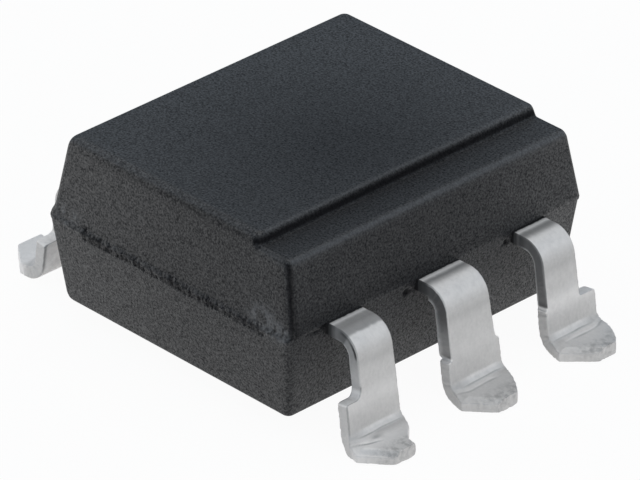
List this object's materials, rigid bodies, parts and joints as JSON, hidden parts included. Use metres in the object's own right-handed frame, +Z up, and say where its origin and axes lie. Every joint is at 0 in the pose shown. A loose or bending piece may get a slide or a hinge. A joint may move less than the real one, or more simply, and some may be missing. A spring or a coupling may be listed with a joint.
{
  "type": "triac driver optocoupler",
  "caption": "Black moulded optocoupler with gull-wing leads: an infrared emitter fires a light-triggered triac across an insulating gap.",
  "frame": {"origin": "centre of the part's box at the level of the soles of the solder feet", "axes": "+X across the two lead rows, towards the row under the stepped top edge; +Y along the rows; +Z up"},
  "size_m": [0.0102, 0.0074, 0.0037],
  "materials": {
    "moulding": "fine spark-eroded mould texture, matt",
    "tinned_lead": "matt tin plate on copper alloy",
    "chip": "polished semiconductor",
    "attach": "cured silver-filled adhesive",
    "bond_wire": "drawn gold wire",
    "gel": "clear cured silicone"
  },
  "bodies": {
    "root": {"body": "moulding", "anode_lead": "tinned_lead", "cathode_lead": "tinned_lead", "unconnected_lead": "tinned_lead", "terminal_lead_a": "tinned_lead", "substrate_lead": "tinned_lead", "terminal_lead_b": "tinned_lead", "emitter_chip": "chip", "emitter_attach": "attach", "emitter_wire": "bond_wire", "detector_chip": "chip", "detector_attach": "attach", "detector_wire_a": "bond_wire", "detector_wire_b": "bond_wire", "coupling_gel": "gel"}
  },
  "joints": []
}
